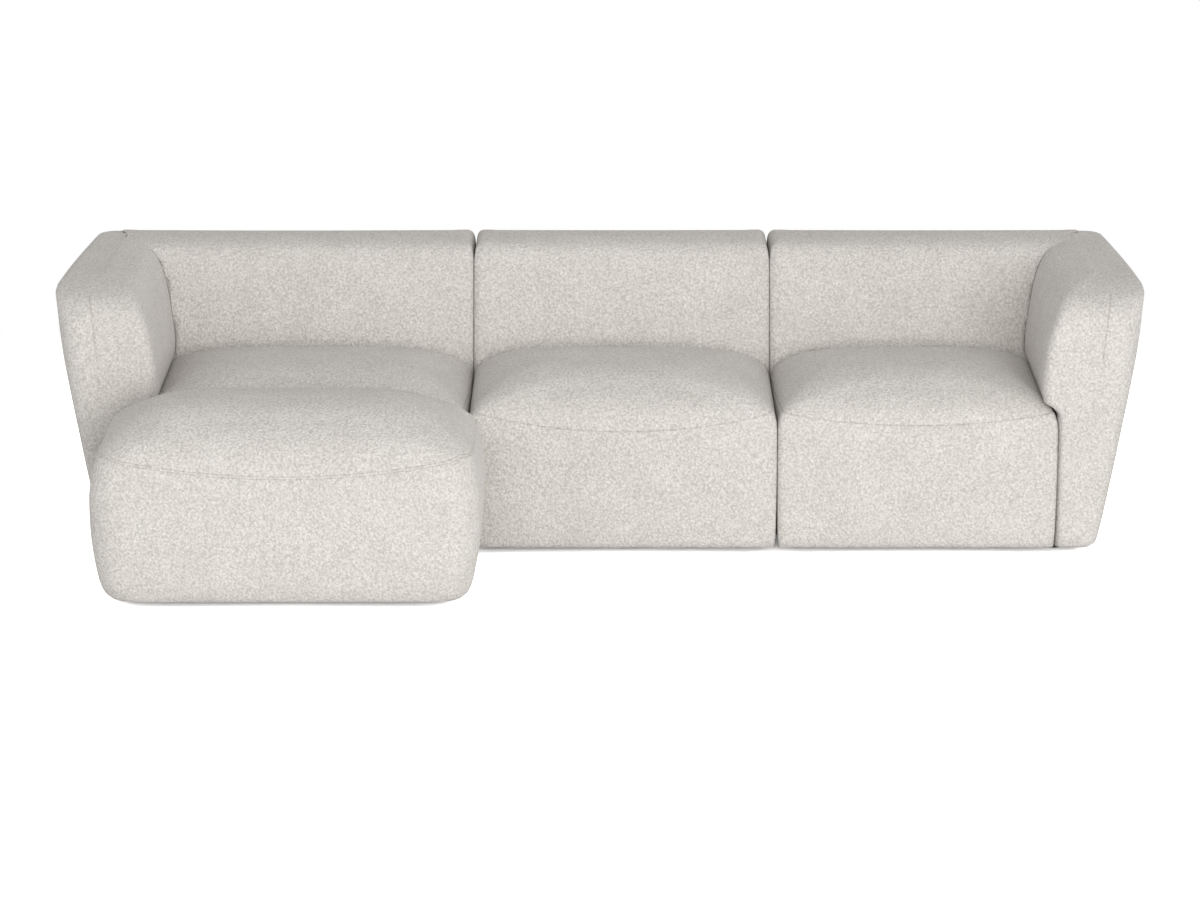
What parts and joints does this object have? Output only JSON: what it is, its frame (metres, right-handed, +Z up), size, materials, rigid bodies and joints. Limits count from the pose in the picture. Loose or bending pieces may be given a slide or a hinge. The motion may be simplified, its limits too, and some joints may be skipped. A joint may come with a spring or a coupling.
{
  "type": "modular corner sofa",
  "caption": "Low modular corner sofa in off-white boucle: seat modules with leaning wedge arms and backs, crowned seats and a loose matching pouf in front.",
  "frame": {"origin": "On the floor under the middle of the whole arrangement, modules and pouf together.", "axes": "+X to the right as seen from the front, along the row of modules; +Y to the back; +Z up."},
  "size_m": [2.8854, 1.5828, 0.715],
  "materials": {
    "boucle": "off-white boucle with looped nubs, matt",
    "foam": "pale cut polyurethane foam",
    "wadding": "white polyester fibre pad",
    "timber": "planed pine, unfinished",
    "webbing": "dark elastic webbing",
    "dust_cloth": "black non-woven cloth",
    "foot_plastic": "black moulded plastic",
    "steel": "zinc-plated steel"
  },
  "bodies": {
    "left_module": {"left_arm_cover": "boucle", "left_arm_foam": "foam", "left_arm_frame": "timber", "left_back_cover": "boucle", "left_back_foam": "foam", "left_back_frame": "timber", "left_base_frame": "timber", "left_connector_hooks": "steel", "left_connector_screws": "steel", "left_dust_cover": "dust_cloth", "left_feet": "foot_plastic", "left_foot_screws": "steel", "left_frame_bolts": "steel", "left_seat_cover": "boucle", "left_seat_foam": "foam", "left_seat_topper": "wadding", "left_webbing": "webbing"},
    "centre_module": {"centre_back_cover": "boucle", "centre_back_foam": "foam", "centre_back_frame": "timber", "centre_base_frame": "timber", "centre_connector_hooks": "steel", "centre_connector_receivers": "steel", "centre_connector_screws": "steel", "centre_dust_cover": "dust_cloth", "centre_feet": "foot_plastic", "centre_foot_screws": "steel", "centre_frame_bolts": "steel", "centre_seat_cover": "boucle", "centre_seat_foam": "foam", "centre_seat_topper": "wadding", "centre_webbing": "webbing"},
    "right_module": {"right_arm_cover": "boucle", "right_arm_foam": "foam", "right_arm_frame": "timber", "right_back_cover": "boucle", "right_back_foam": "foam", "right_back_frame": "timber", "right_base_frame": "timber", "right_connector_receivers": "steel", "right_connector_screws": "steel", "right_dust_cover": "dust_cloth", "right_feet": "foot_plastic", "right_foot_screws": "steel", "right_frame_bolts": "steel", "right_seat_cover": "boucle", "right_seat_foam": "foam", "right_seat_topper": "wadding", "right_webbing": "webbing"},
    "pouf": {"pouf_base_frame": "timber", "pouf_dust_cover": "dust_cloth", "pouf_feet": "foot_plastic", "pouf_foot_screws": "steel", "pouf_seat_cover": "boucle", "pouf_seat_foam": "foam", "pouf_seat_topper": "wadding", "pouf_webbing": "webbing"}
  },
  "joints": [
    {"name": "centre_lift", "type": "slide", "parent": "left_module", "child": "centre_module", "axis": [0, 0, 1], "range_m": [0, 0.1]},
    {"name": "right_lift", "type": "slide", "parent": "centre_module", "child": "right_module", "axis": [0, 0, 1], "range_m": [0, 0.1]},
    {"name": "pouf_slide", "type": "slide", "parent": "left_module", "child": "pouf", "axis": [0, -1, 0], "range_m": [0, 0.6]}
  ]
}
